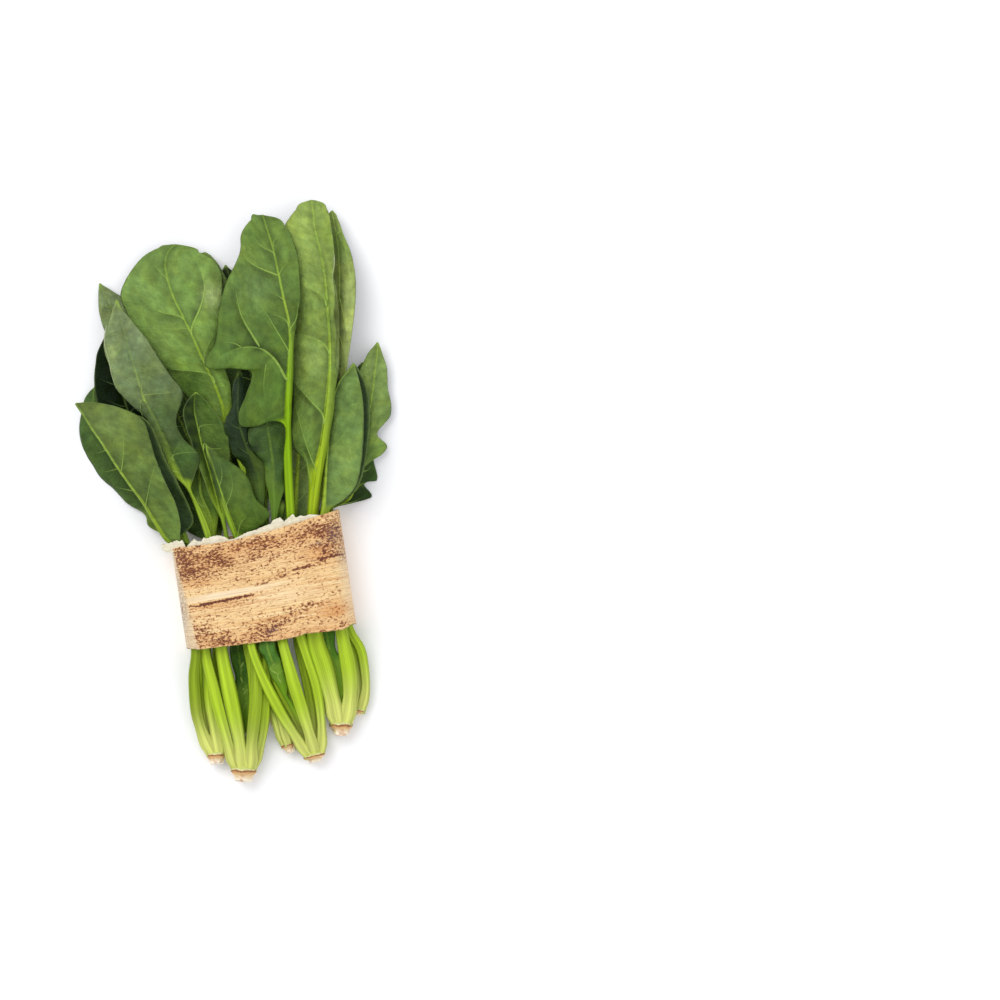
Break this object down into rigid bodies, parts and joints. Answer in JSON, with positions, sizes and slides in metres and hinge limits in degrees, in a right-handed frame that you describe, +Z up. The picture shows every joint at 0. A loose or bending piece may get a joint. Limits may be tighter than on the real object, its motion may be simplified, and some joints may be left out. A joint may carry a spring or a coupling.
{
  "type": "spinach bunch",
  "caption": "Bunch of spinach lying flat: long-stalked leaves on several cut root crowns, held together by a wide wrap of dried banana sheath.",
  "frame": {"origin": "Centre of the bunch's plan outline, on the table it lies on.", "axes": "+X across the bunch, to the right seen from above with the leaf tips up. +Y from the cut crowns towards the leaf tips. +Z up from the table."},
  "size_m": [0.1578, 0.2918, 0.0308],
  "materials": {
    "leaf": "matte",
    "crown": "matte",
    "bark": "matte",
    "ply": "matte"
  },
  "bodies": {
    "root": {"crown_a": "crown", "crown_b": "crown", "crown_c": "crown", "crown_d": "crown", "crown_e": "crown", "crown_f": "crown", "crown_g": "crown", "leaf_a1": "leaf", "leaf_a2": "leaf", "leaf_a3": "leaf", "leaf_a4": "leaf", "leaf_b1": "leaf", "leaf_b2": "leaf", "leaf_b3": "leaf", "leaf_b4": "leaf", "leaf_b5": "leaf", "leaf_c1": "leaf", "leaf_c2": "leaf", "leaf_c3": "leaf", "leaf_d1": "leaf", "leaf_d2": "leaf", "leaf_e1": "leaf", "leaf_e2": "leaf", "leaf_e3": "leaf", "leaf_e4": "leaf", "leaf_e5": "leaf", "leaf_f1": "leaf", "leaf_f2": "leaf", "leaf_f3": "leaf", "leaf_g1": "leaf", "leaf_g2": "leaf", "young_leaf_b": "leaf", "young_leaf_e": "leaf", "young_leaf_f": "leaf", "wrap": "bark", "wrap_inner_ply": "ply"}
  },
  "joints": []
}
